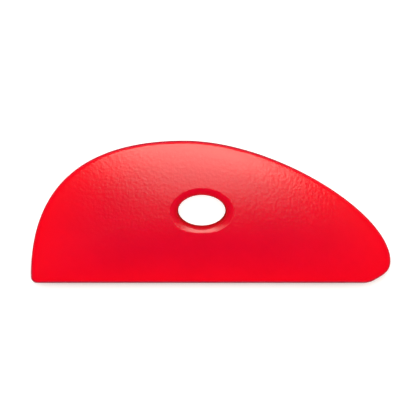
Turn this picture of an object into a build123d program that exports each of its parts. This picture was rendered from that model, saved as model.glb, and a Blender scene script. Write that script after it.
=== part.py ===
from build123d import *
from math import atan, cos, radians, sin, tan
import os

# Overall size, along the straight edge and across it
rib_length = 127.0
rib_width = 50.8

# Thickness at the thumb hole, and round the working edge with the flat left between its bevels
belly_thickness = 6.4
rim_thickness = 2.0
rim_flat = 0.6
bevel_share = 0.985

# Tangent points of the outline, from its left end, right end and straight edge
crest_reach = 54.2
heel_reach = 9.5
nose_height = 7.8

# Corner at each end of the straight edge
heel_radius = 8.0
heel_turn = radians(32)
foot_radius = 2.1

# Curve handles, as shares of the run that each one bends over
nose_handle_shares = (0.48, 0.61)
back_handle_shares = (0.395, 0.44)
front_handle_shares = (0.683, 0.637)

# Oval thumb hole: its size, its centre, and the flat wall left between its two round lips
hole_length = 16.6
hole_width = 11.2
hole_reach = 60.4
hole_height = 26.0
hole_flat = 1.2

# Oval that the crown's contours turn into towards the hole, this far inside the nearest end and side
oval_end_inset = 4.4
oval_side_inset = 0.9

# Crown of each face: the front's begins inside the hole, the back's at the edge of its flat land
crown_steps = 3
core_share = 0.12
land_share = 0.65

# Rounding that the hole's flat leaves for each lip
lip_radius = (belly_thickness - hole_flat) / 2

# Places worked out from the sizes: the outline is centred, and the back's land lies at zero
left = -rib_length / 2
right = rib_length / 2
base = -rib_width / 2
crest = rib_width / 2
middle = belly_thickness / 2
hole_x = left + hole_reach
hole_y = base + hole_height
oval_reach = min(hole_reach, rib_length - hole_reach) - oval_end_inset
oval_rise = min(hole_height, rib_width - hole_height) - oval_side_inset


def arc_run(center, reach, rise, start, end):
    """Control points of an oval's arc between two angles."""
    pull = 4 / 3 * tan((end - start) / 4)

    def rim(angle):
        return center + Vector(reach * cos(angle), rise * sin(angle))

    def along(angle):
        return Vector(-reach * sin(angle), rise * cos(angle)) * pull

    return [rim(start), rim(start) + along(start), rim(end) - along(end), rim(end)]


def outline_runs():
    """The outline, anticlockwise from the foot, seen from the middle of the thumb hole."""
    hole = Vector(hole_x, hole_y)
    heel_center = Vector(right - heel_reach, base + heel_radius) - hole
    foot_center = Vector(left + foot_radius, base + foot_radius) - hole
    bottom = radians(-90)
    heel = arc_run(heel_center, heel_radius, heel_radius, bottom, bottom + heel_turn)
    foot = arc_run(foot_center, foot_radius, foot_radius, 2 * bottom, bottom)
    nose = Vector(right, base + nose_height) - hole
    top = Vector(left + crest_reach, crest) - hole
    leaving = Vector(cos(heel_turn), sin(heel_turn)) * (nose.X - heel[3].X)
    nose_rise = nose.Y - heel[3].Y
    back_rise = top.Y - nose.Y
    back_run = nose.X - top.X
    front_run = top.X - foot[0].X
    front_rise = top.Y - foot[0].Y
    return [
        [foot[3], foot[3], heel[0], heel[0]],
        heel,
        [
            heel[3],
            heel[3] + leaving * nose_handle_shares[0],
            nose - Vector(0, nose_rise * nose_handle_shares[1]),
            nose,
        ],
        [
            nose,
            nose + Vector(0, back_rise * back_handle_shares[0]),
            top + Vector(back_run * back_handle_shares[1], 0),
            top,
        ],
        [
            top,
            top - Vector(front_run * front_handle_shares[0], 0),
            foot[0] + Vector(0, front_rise * front_handle_shares[1]),
            foot[0],
        ],
        foot,
    ]


def oval_runs():
    """The oval round the hole, in runs that leave and end in the outline's own directions."""
    bottom = radians(-90)
    heel = bottom + atan(tan(heel_turn) * oval_reach / oval_rise)
    stops = [bottom, bottom, heel, 0, -bottom, -2 * bottom, -3 * bottom]
    return [arc_run(Vector(), oval_reach, oval_rise, *pair) for pair in zip(stops, stops[1:])]


def contour(height, share):
    """One level of the rib: the outline at a share of its size, and inwards more of the oval."""
    # Private lines, as a sketch would join the runs that meet smoothly, and the lofts need them apart
    runs = []
    for outer, inner in zip(outline_runs(), oval_runs()):
        points = [(o * share + i * (1 - share)) * share for o, i in zip(outer, inner)]
        if outer[0] == outer[1]:
            runs.append(Line(points[0], points[3], mode=Mode.PRIVATE))
        else:
            runs.append(Bezier(*points, mode=Mode.PRIVATE))
    return Plane(origin=(hole_x, hole_y, height)) * Face(Wire(runs))

def crown(inner_share, rise):
    """Sections of one face, which falls away as a parabola from its inner contour to the bevel."""
    sections = []
    for step in range(crown_steps + 1):
        fall = step / crown_steps
        share = inner_share + (bevel_share - inner_share) * fall
        height = middle + rise * (1 - (1 - rim_thickness / belly_thickness) * fall**2)
        sections.append(contour(height, share))
    return sections

# Rib: a band round the edge, a bevel and a crown on each side of it, and the thumb hole through them
with BuildPart() as rib:
    extrude(contour(middle - rim_flat / 2, 1), amount=rim_flat)
    for inner_share, rise in ((core_share, middle), (land_share, -middle)):
        sections = crown(inner_share, rise)
        band_edge = contour(middle + rise * rim_flat / belly_thickness, 1)
        loft([band_edge, sections[-1]], ruled=True)
        loft(sections)
    with BuildSketch(Plane(origin=(hole_x, hole_y, 0))):
        Ellipse(hole_length / 2, hole_width / 2)
    extrude(amount=belly_thickness, mode=Mode.SUBTRACT)
    hole_wall = rib.faces().sort_by_distance((hole_x, hole_y, middle))[0]
    fillet(hole_wall.edges().filter_by(Axis.Z, reverse=True), radius=lip_radius)

rib.part.label = "rib"
os.makedirs("parts", exist_ok=True)
export_step(rib.part, "parts/rib.step")
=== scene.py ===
from math import atan, cos, pi, radians, sin, tan

import bpy
import numpy as np
from mathutils import Matrix, Vector


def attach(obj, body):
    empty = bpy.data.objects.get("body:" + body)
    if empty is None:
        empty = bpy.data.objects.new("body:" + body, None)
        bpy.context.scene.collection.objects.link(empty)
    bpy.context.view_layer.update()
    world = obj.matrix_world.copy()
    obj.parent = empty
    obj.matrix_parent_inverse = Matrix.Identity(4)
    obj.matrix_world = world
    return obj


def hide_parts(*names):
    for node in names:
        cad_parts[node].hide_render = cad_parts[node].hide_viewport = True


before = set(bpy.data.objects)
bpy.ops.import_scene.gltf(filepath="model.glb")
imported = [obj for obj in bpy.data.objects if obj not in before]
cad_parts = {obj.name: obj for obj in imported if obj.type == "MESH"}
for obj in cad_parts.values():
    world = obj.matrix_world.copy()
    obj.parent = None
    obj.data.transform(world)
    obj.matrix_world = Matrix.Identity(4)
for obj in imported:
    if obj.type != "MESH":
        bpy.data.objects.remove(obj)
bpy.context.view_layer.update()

MM = 0.001

# Sizes of the solid's body, in millimetres as all lengths up to the mesh
rib_length = 127.0
rib_width = 50.8
belly_thickness = 6.4
rim_thickness = 2.0
rim_flat = 0.6
middle = belly_thickness / 2

# The outline's corners, from its left end and its straight edge
crest_reach = 54.2
heel_reach = 9.5  # from the right end
nose_height = 7.8
heel_radius = 8.0
heel_turn = radians(32)
foot_radius = 2.1

# How far the handles of the outline's curves reach, as shares of the curves' spans
nose_handle_shares = (0.48, 0.61)
back_handle_shares = (0.395, 0.44)
front_handle_shares = (0.683, 0.637)

# The hole, and the oval that the contours turn into towards it
hole_length = 16.6
hole_width = 11.2
hole_reach = 60.4
hole_height = 26.0
hole_center = np.array([hole_reach - rib_length / 2, hole_height - rib_width / 2])
oval_end_inset = 4.4
oval_side_inset = 0.9

# Levels of the crown: one is the outline, and smaller ones lie nearer the hole
core_share = 0.12  # where the front starts to fall
land_share = 0.65  # where the back starts to fall
bevel_share = 0.985  # where both are as thin as the rim
innermost_share = 0.1  # the smallest that is worked out

# Dished lip round the hole, which scene.py alone has
lip_side_width = 3.0
lip_crest_width = 2.85
lip_base_width = 2.0
dish_slopes = (0.19, 0.27)  # at the lip's edge, and at the rounding
dish_side_share = 0.55  # how steep the dish is at the hole's ends, as a share
round_reach = 0.75  # half width of the oval rounding that joins the dish to the wall
round_drop = 2.2  # half depth of that rounding
crease_width = 0.08  # how close outside the lip's edge the crown goes on

# Rounded rim, finer than the solid's
rim_share = 0.962  # level at which it leaves the crown
rim_pull = 0.6  # how far it runs on in line with the crown, as a share of its width
slope_step = 0.1  # over how much of the crown its slope at the rim is measured

# Witness line where the mould's halves meet, round the middle of the edge
witness_proud = 0.05
witness_half = 0.13  # half its width
witness_foot_share = 1.5  # where the edge still runs flat, in those halves
witness_top_share = 0.4  # half the width of its ridge, in those halves

# Painted shade along the rim's rounding, whose stops are sines of the angle from +X
EDGE_SHADE_SHARES = [(-0.45, 1.0), (-0.25, 0.5), (0.25, 0.5), (0.6, 0.95)]  # how dark it is
EDGE_SHADE_WIDTHS = [(-0.45, 0.9), (-0.25, 0.5)]  # how wide it is
edge_shade_fade = 0.45  # how far in from its border it grows to its full darkness
edge_shade_back_share = 0.7  # how dark it is on the back, as a share
edge_shade_rise = 0.4  # height above the middle at which it is as dark as on the front

# How sharply the painted shade deepens towards the hole's wall
wall_shade_power = 2.2

# How finely the curves are followed and the mesh is divided
CURVE_POINTS = 241
LEVEL_COUNT = 91
OVAL_POINTS = 2880
LIP_TRIES = 60
LIP_SEARCH = 1.3  # how far out the tries go, in widths of the lip
NEWTON_STEPS = 12
RAYS = 640
ROUND_RINGS = 9
DISH_RINGS = 3
CROWN_RINGS = 46
RIM_RINGS = 9


def cubic_shares(t):
    """Weights of a cubic curve's four control points at t."""
    return [(1 - t) ** 3, 3 * t * (1 - t) ** 2, 3 * t**2 * (1 - t), t**3]


def cubic(points, t):
    """The point at t on a cubic curve with these control points."""
    return sum(share * point for share, point in zip(cubic_shares(t), points))


def arc_run(center, reach, rise, start, end):
    """Control points of an oval's arc between two angles."""
    pull = 4 / 3 * tan((end - start) / 4)
    rims = [np.array([reach * cos(a), rise * sin(a)]) for a in (start, end)]
    ways = [np.array([-reach * sin(a), rise * cos(a)]) * pull for a in (start, end)]
    return np.array([rims[0], rims[0] + ways[0], rims[1] - ways[1], rims[1]]) + center


def outline_runs():
    """The outline's control points from the middle of the hole, as the solid has them."""
    left, right = -rib_length / 2, rib_length / 2
    base, crest = -rib_width / 2, rib_width / 2
    heel_center = np.array([right - heel_reach, base + heel_radius])
    heel = arc_run(heel_center, heel_radius, heel_radius, -pi / 2, heel_turn - pi / 2)
    foot_center = np.array([left + foot_radius, base + foot_radius])
    foot = arc_run(foot_center, foot_radius, foot_radius, -pi, -pi / 2)
    nose = np.array([right, base + nose_height])
    top = np.array([left + crest_reach, crest])
    leaving = np.array([cos(heel_turn), sin(heel_turn)]) * (nose[0] - heel[3][0])
    up = np.array([0.0, 1.0])
    along = np.array([1.0, 0.0])
    nose_run = [heel[3], heel[3] + leaving * nose_handle_shares[0],
                nose - up * (nose[1] - heel[3][1]) * nose_handle_shares[1], nose]
    back_run = [nose, nose + up * (crest - nose[1]) * back_handle_shares[0],
                top + along * (right - top[0]) * back_handle_shares[1], top]
    front_run = [top, top - along * (top[0] - foot[0][0]) * front_handle_shares[0],
                 foot[0] + up * (crest - foot[0][1]) * front_handle_shares[1], foot[0]]
    edge = foot[3] + (heel[0] - foot[3]) * np.array([[0.0], [1 / 3], [2 / 3], [1.0]])
    return np.array([edge, heel, nose_run, back_run, front_run, foot]) - hole_center


def oval_runs():
    """The oval that the contours turn into towards the hole."""
    reach = min(hole_reach, rib_length - hole_reach) - oval_end_inset
    rise = min(hole_height, rib_width - hole_height) - oval_side_inset
    heel = atan(tan(heel_turn) * reach / rise) - pi / 2
    stops = [-pi / 2, -pi / 2, heel, 0, pi / 2, pi, 3 * pi / 2]
    return np.array([arc_run(np.zeros(2), reach, rise, a, b) for a, b in zip(stops, stops[1:])])


OUTER, INNER = outline_runs(), oval_runs()
WEIGHTS = np.hstack(cubic_shares(np.linspace(0, 1, CURVE_POINTS)[:, None]))


def contour(share):
    """Points of one level of the rib, anticlockwise, from the middle of the hole."""
    points = [WEIGHTS @ run for run in share * (share * OUTER + (1 - share) * INNER)]
    return np.vstack([run[:-1] for run in points])


def radii(points, angles):
    """How far a closed line lies from the middle of the hole, on each ray."""
    turn = np.arctan2(points[:, 1], points[:, 0]) % (2 * pi)
    order = np.argsort(turn)
    reach = np.hypot(points[:, 0], points[:, 1])
    return np.interp(angles % (2 * pi), turn[order], reach[order], period=2 * pi)


# Rays from the hole's middle, at points spread evenly along the outline
outline = contour(1.0)
closed = np.vstack([outline, outline[:1]])
lengths = np.concatenate([[0], np.cumsum(np.hypot(*np.diff(closed, axis=0).T))])
marks = np.linspace(0, lengths[-1], RAYS, endpoint=False)
even_x, even_y = [np.interp(marks, lengths, closed[:, i]) for i in (0, 1)]
ray = np.sort(np.arctan2(even_y, even_x) % (2 * pi))
way_x, way_y = np.cos(ray), np.sin(ray)
way = np.stack([way_x, way_y], axis=1)

# How far each level lies from the hole's middle on each ray
SHARES = np.linspace(innermost_share, 1.0, LEVEL_COUNT)
LEVELS = np.array([radii(contour(share), ray) for share in SHARES])


def level_radius(share):
    """Radius of one level on each ray."""
    return np.array([np.interp(share, SHARES, LEVELS[:, i]) for i in range(RAYS)])


def crown_height(reach, inner):
    """Height above the middle of a crown that starts to fall at the inner level, as a parabola."""
    share = np.array([np.interp(reach[i], LEVELS[:, i], SHARES) for i in range(RAYS)])
    fall = np.clip((share - inner) / (bevel_share - inner), 0, None)
    return middle * (1 - (1 - rim_thickness / belly_thickness) * fall**2)


def oval_distance(points):
    """Distance of points outside the hole from its oval wall, by Newton's method."""
    a, b = hole_length / 2, hole_width / 2
    t = np.arctan2(points[..., 1] * a, points[..., 0] * b)
    for _ in range(NEWTON_STEPS):
        x, y = a * np.cos(t), b * np.sin(t)
        dx, dy = -a * np.sin(t), b * np.cos(t)
        gap_x, gap_y = x - points[..., 0], y - points[..., 1]
        slope = gap_x * dx + gap_y * dy
        bend = dx**2 + dy**2 - gap_x * x - gap_y * y
        t = t - slope / bend
    return np.hypot(a * np.cos(t) - points[..., 0], b * np.sin(t) - points[..., 1])


# The wall's radius on each ray, and the distance from the wall at points tried further out
oval_turn = np.linspace(0, 2 * pi, OVAL_POINTS, endpoint=False)
oval = np.stack([hole_length / 2 * np.cos(oval_turn), hole_width / 2 * np.sin(oval_turn)], axis=1)
wall = radii(oval, ray)
tries = wall[:, None] + np.linspace(0, LIP_SEARCH * lip_side_width, LIP_TRIES)
try_gaps = oval_distance(tries[..., None] * way[:, None, :])
try_gaps[:, 0] = 0


def lip_reach(gaps):
    """Radius on each ray where the lip is a given distance from the wall."""
    gaps = np.broadcast_to(gaps, RAYS)
    return np.array([np.interp(gaps[i], try_gaps[i], tries[i]) for i in range(RAYS)])


# Width of the lip on each ray, and where its rounding ends and its dish starts
lip_mean = (lip_crest_width + lip_base_width) / 2
lip_lift = (lip_crest_width - lip_base_width) / 2
lip_width = lip_side_width * way_x**2 + (lip_mean + lip_lift * way_y) * way_y**2
dish_share = 1 - (1 - dish_side_share) * way_x**2
round_start = np.arctan(dish_share * dish_slopes[1] * round_reach / round_drop)
dish_width = lip_width - round_reach * (1 - np.sin(round_start))

# Radius on each ray of the lip's outer edge, of the rim's inner edge and of the outline
lip_edge = lip_reach(lip_width)
rim_edge = level_radius(rim_share)
rim = level_radius(1.0)


def lip_rings(inner):
    """Rings from the hole's wall over the rounding and the dish to the lip's edge."""
    lip_top = crown_height(lip_edge, inner)
    rings = []
    for turn in np.linspace(np.full(RAYS, pi / 2), round_start, ROUND_RINGS):
        round_fall = round_drop * (np.cos(round_start) - np.cos(turn))
        drop = dish_width * dish_share * sum(dish_slopes) / 2 + round_fall
        rings.append((lip_reach(round_reach * (1 - np.sin(turn))), lip_top - drop))
    for step in np.linspace(1, 0, DISH_RINGS + 2)[1:]:
        slope = dish_share * (dish_slopes[0] + (dish_slopes[1] - dish_slopes[0]) * step / 2)
        rings.append((lip_reach(lip_width - dish_width * step), lip_top - dish_width * step * slope))
    return rings


def crown_rings(inner):
    """Rings from close outside the lip, which keeps its edge crisp, over the crown to the rim."""
    steps = np.linspace(0, 1, CROWN_RINGS + 1)[1:]
    reaches = [lip_reach(lip_width + crease_width)]
    reaches += [lip_edge + (rim_edge - lip_edge) * step for step in steps]
    return [(reach, crown_height(reach, inner)) for reach in reaches]


def rim_rings(inner):
    """Rings round the rim's curve to the edge's flat, and up the witness line."""
    half, flat = crown_height(rim_edge, inner), rim_flat / 2
    slope = (crown_height(rim_edge - slope_step, inner) - half) / slope_step
    out = (rim - rim_edge) * rim_pull
    reaches = [rim_edge, rim_edge + out, rim, rim]
    heights = [half, half - slope * out, (half + flat) / 2, flat]
    rings = [(cubic(reaches, t), cubic(heights, t)) for t in np.linspace(0, 1, RIM_RINGS + 1)[1:]]
    for height in (witness_half * witness_foot_share, witness_half):
        rings.append((rim, np.full(RAYS, height)))
    rings.append((rim + witness_proud, np.full(RAYS, witness_half * witness_top_share)))
    return rings


def half_section(side, inner):
    """Rings from the hole's wall over one face to the rim: radius and height on each ray."""
    rings = lip_rings(inner) + crown_rings(inner) + rim_rings(inner)
    return [(reach, middle + side * height) for reach, height in rings]


front = half_section(1, core_share)
back = half_section(-1, land_share)
rings = front + back[::-1] + [(wall, np.full(RAYS, middle))]
count = len(rings)
verts = np.empty((count, RAYS, 3))
for k, (reach, height) in enumerate(rings):
    verts[k, :, :2] = hole_center + reach[:, None] * way
    verts[k, :, 2] = height
index = np.arange(count * RAYS).reshape(count, RAYS)
ahead = np.roll(index, -1, axis=0)
quads = np.stack([index, ahead, np.roll(ahead, -1, axis=1), np.roll(index, -1, axis=1)], axis=2)

mesh = bpy.data.meshes.new("rib_body")
mesh.from_pydata((verts.reshape(-1, 3) * MM).tolist(), [], quads.reshape(-1, 4).tolist())
mesh.polygons.foreach_set("use_smooth", [True] * len(mesh.polygons))


def paint(name, values):
    """Give each point of the mesh a number that the material reads by this name."""
    layer = mesh.attributes.new(name, "FLOAT", "POINT")
    layer.data.foreach_set("value", values.reshape(-1))


# Thinness of the body at each point, from none at the belly to one at the rim, which the material turns into
# a painted glow of light through the thin plastic
thick = np.array([2 * crown_height(np.minimum(reach, rim), core_share) for reach, height in rings])
paint("thin", np.clip((belly_thickness - thick) / (belly_thickness - rim_thickness), 0, 1))

# How much painted shade along the rim each point gets, by its distance square to the outline
rim_span = rim**2 / np.hypot(rim, np.gradient(rim, ray))
edge_shade_share = np.interp(way_y, *zip(*EDGE_SHADE_SHARES))
edge_shade_width = np.interp(way_y, *zip(*EDGE_SHADE_WIDTHS))
edge_shade_band = np.empty((count, RAYS))
for k, (reach, height) in enumerate(rings):
    rim_gap = (1 - reach / rim) * rim_span
    face_share = np.interp(height, (middle, middle + edge_shade_rise), (edge_shade_back_share, 1.0))
    edge_shade_band[k] = np.clip((edge_shade_width - rim_gap) / edge_shade_fade, 0, 1) * edge_shade_share * face_share
paint("edge", edge_shade_band)

# Painted shade in the hole: how deep in the hole each point lies, from none past the lip to one on the wall
lip_way = np.array([(reach - wall) / (lip_edge - wall) for reach, height in rings])
paint("hole_shade", np.clip(1 - lip_way, 0, 1) ** wall_shade_power)
mesh.update()

body = bpy.data.objects.new("rib_body", mesh)
bpy.context.scene.collection.objects.link(body)
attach(body, "root")
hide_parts("rib")


def node(tree, kind, inputs=None, **settings):
    """Add a node. Each input, by name or place, gets a value or the output that feeds it."""
    made = tree.nodes.new("ShaderNode" + kind)
    for name, value in settings.items():
        setattr(made, name, value)
    feed(tree, made, inputs or {})
    return made


def feed(tree, made, inputs):
    """Give a node's inputs their values, or link the outputs that feed them."""
    for name, value in inputs.items():
        if isinstance(value, bpy.types.NodeSocket):
            tree.links.new(value, made.inputs[name])
        else:
            made.inputs[name].default_value = value


def painted(tree, name):
    """The number that each point of the mesh was given under this name."""
    return node(tree, "Attribute", attribute_name=name).outputs["Fac"]


def noise(tree, scale, detail, **inputs):
    """A noise in the object's own space, with this many cells to the metre."""
    space = node(tree, "TexCoord").outputs["Object"]
    return node(tree, "TexNoise", {"Vector": space, "Scale": scale, "Detail": detail} | inputs).outputs["Fac"]


def spread_over(tree, value, before, after, interpolation="LINEAR"):
    """Take a value from one range to another."""
    limits = {"From Min": before[0], "From Max": before[1], "To Min": after[0], "To Max": after[1]}
    made = node(tree, "MapRange", {"Value": value} | limits, interpolation_type=interpolation)
    return made.outputs["Result"]


def reckon(tree, operation, *values):
    """Work out one number from others."""
    return node(tree, "Math", dict(enumerate(values)), operation=operation).outputs["Value"]


def ramp(tree, value, stops):
    """Colours along a value, from stops of position and colour."""
    made = node(tree, "ValToRGB", {"Fac": value})
    for _ in stops[2:]:
        made.color_ramp.elements.new(0.5)
    for element, (position, colour) in zip(made.color_ramp.elements, stops):
        element.position = position
        element.color = colour
    return made.outputs["Color"]


def mix_colours(tree, share, first, second, blend="MIX"):
    """A colour that goes from the first to the second, or to their blend, with the share."""
    made = node(tree, "Mix", data_type="RGBA", blend_type=blend)
    feed(tree, made, {"Factor": share, "A": first, "B": second})
    return made.outputs["Result"]


def mix_shaders(tree, share, first, second):
    """A shader that goes from the first to the second with the share."""
    return node(tree, "MixShader", {0: share, 1: first, 2: second}).outputs[0]


# Reds of the plastic
# The thick red's little extra blue is a painted tint of the sheen
THICK_RED = (0.80, 0.0003, 0.020, 1)
# Brighter red where the plastic is thin: a painted glow of light shining through it
THIN_GLOW_RED = (1.0, 0.0003, 0.013, 1)
EDGE_SHADE_RED = (0.34, 0.004, 0.03, 1)  # painted shade on the rim's rounding
WALL_SHADE_RED = (0.57, 0.0003, 0.003, 1)  # painted shade on the hole's wall
THIN_RANGE = (0.22, 0.95)  # thinness over which the thick red turns into the thin one with its painted glow

# Mottling in the colour, and the finer grain of the skin in roughness and bump
MOTTLE_SCALE = 90
GRAIN_SCALE = 1000
GRAIN_HEIGHT = 0.000045  # in metres
NOISE_RANGE = (0.3, 0.7)
MOTTLE_RANGE = (0.95, 1.02)
ROUGH_RANGE = (0.135, 0.17)

# Light inside the plastic travels furthest as red
GLOW_RADIUS = (1.0, 0.12, 0.08)
GLOW_SCALE = 0.0012


def red_polyurethane():
    """Soft cast polyurethane: red all through, with a painted glow where it is thin, painted shade on the
    rim's rounding and down into the hole, and a fine satin skin.
    """
    plastic = bpy.data.materials.new("red_polyurethane")
    plastic.use_nodes = True
    tree = plastic.node_tree

    # Painted glow of light through the thin plastic, brighter towards the rim
    reds = ramp(tree, painted(tree, "thin"), list(zip(THIN_RANGE, (THICK_RED, THIN_GLOW_RED))))
    # Painted shade along the rim's rounding, where the edge turns away from the light
    reds = mix_colours(tree, painted(tree, "edge"), reds, EDGE_SHADE_RED)
    # Painted shade down into the hole, darkest on its wall
    reds = mix_colours(tree, painted(tree, "hole_shade"), reds, WALL_SHADE_RED)
    cloud = noise(tree, MOTTLE_SCALE, 6, Roughness=0.65)
    mottle = spread_over(tree, cloud, NOISE_RANGE, MOTTLE_RANGE)
    reds = mix_colours(tree, 1.0, reds, mottle, "MULTIPLY")

    grain = noise(tree, GRAIN_SCALE, 2)
    bump = node(tree, "Bump", {"Strength": 1.0, "Distance": GRAIN_HEIGHT, "Height": grain})
    feed(tree, tree.nodes["Principled BSDF"], {
        "Base Color": reds,
        "Roughness": spread_over(tree, grain, NOISE_RANGE, ROUGH_RANGE),
        "IOR": 1.5,
        "Specular IOR Level": 0.5,
        "Subsurface Weight": 0.2,
        "Subsurface Radius": GLOW_RADIUS,
        "Subsurface Scale": GLOW_SCALE,
        "Normal": bump.outputs["Normal"],
    })
    return plastic


mesh.materials.append(red_polyurethane())

# The floor's shade along the straight edge, in metres
SHADE_REACH = 0.0048  # how far away the rib still shades the floor
SHADE_WAY_Y = 0.77  # the way that the shade looks, towards the rib and up
SHADE_WAY_Z = 0.64
SHADE_END = (-0.022, -0.016)  # the Y over which it ends, short of the hole
OPEN_RANGE = (0.52, 0.95)  # how open the floor is where it is darkest, and where it is white
FLOOR_GLOW = 0.45  # what lifts the pale floor to white for the camera

# What the skin reflects of the floor, which is dark in an oval patch round the rib
PATCH_SCALE = (11, 20, 0)  # one over the patch's half sizes, in metres
PATCH_END = (1.0, 2.0)  # where it ends, in those half sizes
PATCH_SHADES = (0.03, 0.8)  # in the patch, and far from it


def white_paper():
    """Matt paper that is white to the camera, with a soft shade along the rib's straight edge."""
    paper = bpy.data.materials.new("white_paper")
    paper.use_nodes = True
    tree = paper.node_tree
    matt = tree.nodes["Principled BSDF"]
    feed(tree, matt, {"Base Color": (0.85, 0.85, 0.85, 1), "Roughness": 0.9, "Specular IOR Level": 0.0})
    spot = node(tree, "NewGeometry").outputs["Position"]
    spot_y = node(tree, "SeparateXYZ", {"Vector": spot}).outputs["Y"]

    shade_way = node(tree, "CombineXYZ", {"Y": SHADE_WAY_Y, "Z": SHADE_WAY_Z}).outputs["Vector"]
    shade = node(tree, "AmbientOcclusion", {"Distance": SHADE_REACH, "Normal": shade_way}, samples=16)
    unshaded = spread_over(tree, spot_y, SHADE_END, (0, 1))
    openness = reckon(tree, "MAXIMUM", shade.outputs["AO"], unshaded)
    glow = spread_over(tree, openness, OPEN_RANGE, (0, FLOOR_GLOW))
    lifted = node(tree, "Emission", {"Strength": glow}).outputs[0]
    seen_floor = node(tree, "AddShader", {0: matt.outputs[0], 1: lifted}).outputs[0]

    patch = node(tree, "VectorMath", {0: spot, 1: PATCH_SCALE}, operation="MULTIPLY").outputs["Vector"]
    patch_way = node(tree, "VectorMath", {0: patch}, operation="LENGTH").outputs["Value"]
    patch_white = spread_over(tree, patch_way, PATCH_END, PATCH_SHADES)
    mirrored_floor = node(tree, "BsdfDiffuse", {"Color": patch_white}).outputs[0]

    light_path = node(tree, "LightPath").outputs
    surface = mix_shaders(tree, light_path["Is Camera Ray"], matt.outputs[0], seen_floor)
    surface = mix_shaders(tree, light_path["Is Glossy Ray"], surface, mirrored_floor)
    tree.links.new(surface, tree.nodes["Material Output"].inputs["Surface"])
    return paper


# White table, a hair under the rib's flat land so that the two don't flicker where they meet
floor_half = 3
floor_gap = 0.02 * MM
floor_corners = [(-1, -1), (1, -1), (1, 1), (-1, 1)]
floor_mesh = bpy.data.meshes.new("floor")
floor_mesh.from_pydata([(x * floor_half, y * floor_half, 0) for x, y in floor_corners], [], [(0, 1, 2, 3)])
floor = bpy.data.objects.new("floor", floor_mesh)
floor.location.z = -floor_gap
bpy.context.scene.collection.objects.link(floor)
floor_mesh.materials.append(white_paper())

# Strengths of the studio's light
FILL = 0.28  # on the object, even all round
SHINE_LEVELS = (0.8, 0.01)  # what the skin reflects, near the horizon and overhead
SHINE_HEIGHTS = (0.3, 0.7)  # the direction's Z between which the one turns into the other


def studio():
    """A world that is white to the camera, fills the object evenly and shines in its skin as pale walls."""
    world = bpy.data.worlds.new("studio")
    world.use_nodes = True
    tree = world.node_tree
    fill = tree.nodes["Background"]
    feed(tree, fill, {"Color": (1, 1, 1, 1), "Strength": FILL})
    heading = node(tree, "TexCoord").outputs["Generated"]
    heading_z = node(tree, "SeparateXYZ", {"Vector": heading}).outputs["Z"]
    shine_level = spread_over(tree, heading_z, SHINE_HEIGHTS, SHINE_LEVELS, "SMOOTHSTEP")
    shine = node(tree, "Background", {"Strength": shine_level}).outputs[0]
    white = node(tree, "Background", {"Strength": 1.0}).outputs[0]

    light_path = node(tree, "LightPath").outputs
    light = mix_shaders(tree, light_path["Is Glossy Ray"], fill.outputs[0], shine)
    light = mix_shaders(tree, light_path["Is Camera Ray"], light, white)
    tree.links.new(light, tree.nodes["World Output"].inputs["Surface"])
    return world


bpy.context.scene.world = studio()


def off_upright(tilt, swing):
    """Direction at a tilt off straight up, swung round from +Y towards +X, both in degrees."""
    side = sin(radians(tilt))
    return Vector((side * sin(radians(swing)), side * cos(radians(swing)), cos(radians(tilt))))


def softbox(name, tilt, swing, distance, width, height, radiance):
    """A lamp that faces the rib from one direction, as bright as its radiance at any size."""
    data = bpy.data.lights.new(name, "AREA")
    data.shape = "RECTANGLE"
    data.size = width
    data.size_y = height
    data.energy = radiance * width * height * pi
    lamp = bpy.data.objects.new(name, data)
    lamp.location = off_upright(tilt, swing) * distance
    lamp.rotation_euler = lamp.location.to_track_quat("Z", "Y").to_euler()
    bpy.context.scene.collection.objects.link(lamp)
    return lamp


# A tall softbox over the curved back shines in the skin, in degrees and metres
key_tilt = 7
key_distance = 1.4
key_width = 0.9
key_height = 0.98
key_radiance = 8.0
key_colour = (1, 1, 0.84)

# Its radiance and half its lit width, with stops at angles off straight up
KEY_LEVELS = [(-12, 0), (-6, 2.0), (0, 2.8), (6, 3.7), (10, 5.2), (16, 6.8), (19, 5.0), (26, 0)]
KEY_HALF_WIDTHS = [(-12, 0.0), (0, 0.185), (12, 0.30), (26, 0.31)]
KEY_SOFT = 0.10  # how softly its sides fade


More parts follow.
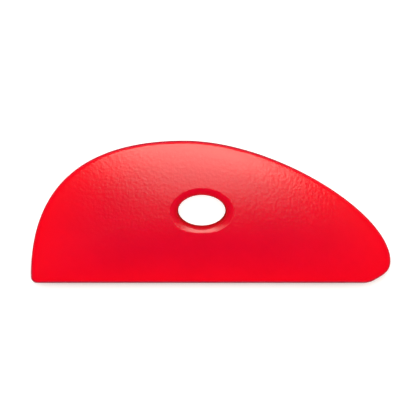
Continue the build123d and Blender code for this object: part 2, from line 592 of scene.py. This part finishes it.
def key_ramp(tree, place, stops, whole):
    """Values over the softbox's height, as shares of a whole, from stops at angles off straight up."""
    rows = []
    for tilt, value in stops:
        position = 0.5 + tan(radians(tilt - key_tilt)) * key_distance / key_height
        rows.append((position, (value / whole, value / whole, value / whole, 1)))
    return ramp(tree, place, rows)


def fade_key(data):
    """Fade the softbox's shine towards its sides and its near end."""
    data.use_nodes = True
    tree = data.node_tree
    place = node(tree, "NewGeometry").outputs["Parametric"]
    across, along = node(tree, "SeparateXYZ", {"Vector": place}).outputs[:2]
    level = key_ramp(tree, along, KEY_LEVELS, key_radiance)
    half_width = key_ramp(tree, along, KEY_HALF_WIDTHS, key_width)
    from_middle = reckon(tree, "ABSOLUTE", reckon(tree, "SUBTRACT", across, 0.5))
    past_side = reckon(tree, "SUBTRACT", from_middle, half_width)
    soft = KEY_SOFT / key_width
    fade = spread_over(tree, past_side, (-soft, soft), (1, 0), "SMOOTHSTEP")
    tree.links.new(reckon(tree, "MULTIPLY", level, fade), tree.nodes["Emission"].inputs["Strength"])


key = softbox("key", key_tilt, 0, key_distance, key_width, key_height, key_radiance)
key.rotation_euler = (-radians(key_tilt), 0, 0)
key.data.color = key_colour
fade_key(key.data)

# Cards before and behind, which lift the colour and neither shine in the skin nor cast a shadow
for name, swing, radiance in (("front_card", 180, 2.9), ("back_card", 0, 4.1)):
    card = softbox(name, tilt=60, swing=swing, distance=1.4, width=1.2, height=0.9, radiance=radiance)
    card.visible_glossy = False
    card.data.use_shadow = False

# Camera a little towards +Y, as the photograph's is, in metres and degrees
camera_aim = Vector((-0.000215, 0.00072, 0.0032))
camera_tilt = 10
camera_distance = 1.2
frame_width = 0.14804  # what the picture spans at the aim

camera_data = bpy.data.cameras.new("camera")
camera_data.sensor_width = 36
camera_data.lens = camera_data.sensor_width * camera_distance / frame_width
camera_data.clip_start = 0.05
camera = bpy.data.objects.new("camera", camera_data)
backward = off_upright(camera_tilt, 0)
sideways = Vector((1, 0, 0))
turned = Matrix((sideways, backward.cross(sideways), backward)).transposed().to_4x4()
camera.matrix_world = Matrix.Translation(camera_aim + backward * camera_distance) @ turned
bpy.context.scene.collection.objects.link(camera)
bpy.context.scene.camera = camera
bpy.context.scene.view_settings.view_transform = "Standard"
